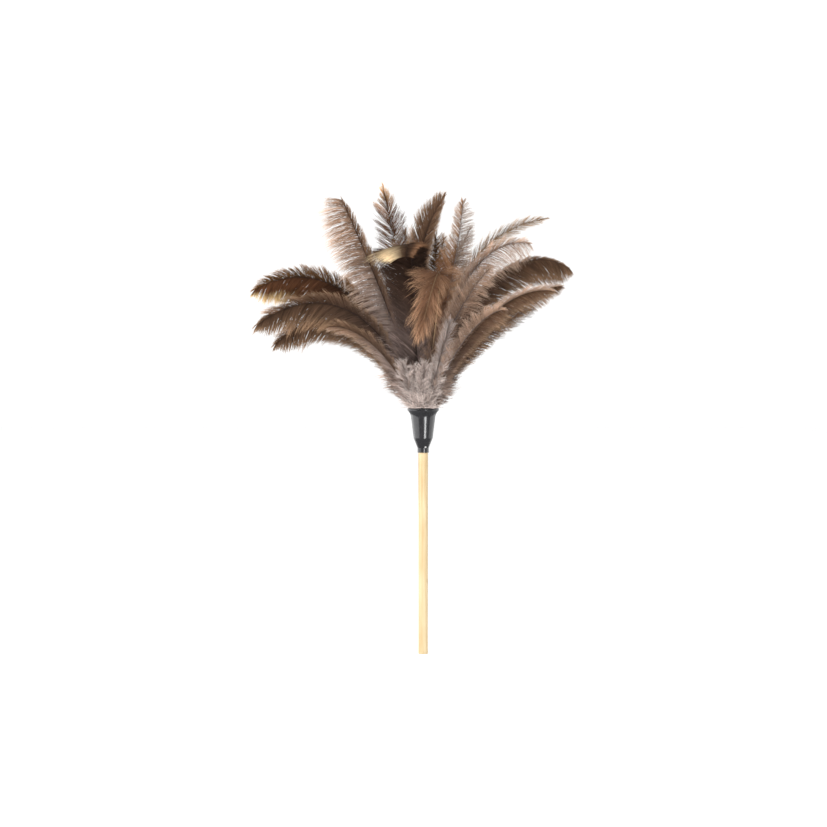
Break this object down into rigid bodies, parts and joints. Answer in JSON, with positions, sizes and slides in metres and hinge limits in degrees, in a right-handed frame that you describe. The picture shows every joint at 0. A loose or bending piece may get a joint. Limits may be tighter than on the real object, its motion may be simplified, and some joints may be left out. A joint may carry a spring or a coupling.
{
  "type": "feather duster",
  "caption": "Feather duster: natural brown feathers bound and potted in a glossy black cup ferrule on a slim plain wooden handle.",
  "frame": {"origin": "centre of the handle's flat cut end", "axes": "+Z along the handle towards the feathers, front at -Y, +X to the right of the front view"},
  "size_m": [0.3994, 0.2503, 0.6042],
  "materials": {
    "handle_wood": "pale plain-sawn dowel, sanded, unvarnished",
    "ferrule_plastic": "glossy black moulding",
    "brad_steel": "bright steel",
    "binding_steel": "annealed wire",
    "glue": "hard amber glue",
    "feather_brown": "soft dry barbs, brown with a grey base",
    "down_grey": "loose pale grey-pink down"
  },
  "bodies": {
    "root": {"binding_wire": "binding_steel", "down_tuft_centre": "down_grey", "down_tuft_left": "down_grey", "down_tuft_right": "down_grey", "down_tuft_side": "down_grey", "feather_front_curled": "feather_brown", "feather_front_right": "feather_brown", "feather_front_tall": "feather_brown", "feather_inner_00": "feather_brown", "feather_inner_01": "feather_brown", "feather_inner_02": "feather_brown", "feather_inner_03": "feather_brown", "feather_inner_04": "feather_brown", "feather_inner_05": "feather_brown", "feather_left_arched": "feather_brown", "feather_left_back": "feather_brown", "feather_left_inner": "feather_brown", "feather_left_low": "feather_brown", "feather_left_middle": "feather_brown", "feather_left_short": "feather_brown", "feather_left_under": "feather_brown", "feather_middle_01": "feather_brown", "feather_middle_02": "feather_brown", "feather_middle_03": "feather_brown", "feather_middle_04": "feather_brown", "feather_middle_05": "feather_brown", "feather_middle_06": "feather_brown", "feather_middle_07": "feather_brown", "feather_middle_08": "feather_brown", "feather_outer_01": "feather_brown", "feather_outer_02": "feather_brown", "feather_outer_03": "feather_brown", "feather_outer_04": "feather_brown", "feather_outer_05": "feather_brown", "feather_outer_06": "feather_brown", "feather_outer_07": "feather_brown", "feather_outer_08": "feather_brown", "feather_right_arched": "feather_brown", "feather_right_long": "feather_brown", "feather_right_low": "feather_brown", "feather_right_outer": "feather_brown", "feather_right_short": "feather_brown", "feather_right_under": "feather_brown", "feather_right_upper": "feather_brown", "feather_top_dark": "feather_brown", "feather_top_left": "feather_brown", "feather_top_middle": "feather_brown", "feather_top_plume": "feather_brown", "feather_top_right": "feather_brown", "feather_top_spike": "feather_brown", "feather_top_wisp": "feather_brown", "ferrule_cup": "ferrule_plastic", "glue_plug": "glue", "handle_dowel": "handle_wood", "retaining_brad": "brad_steel"}
  },
  "joints": []
}
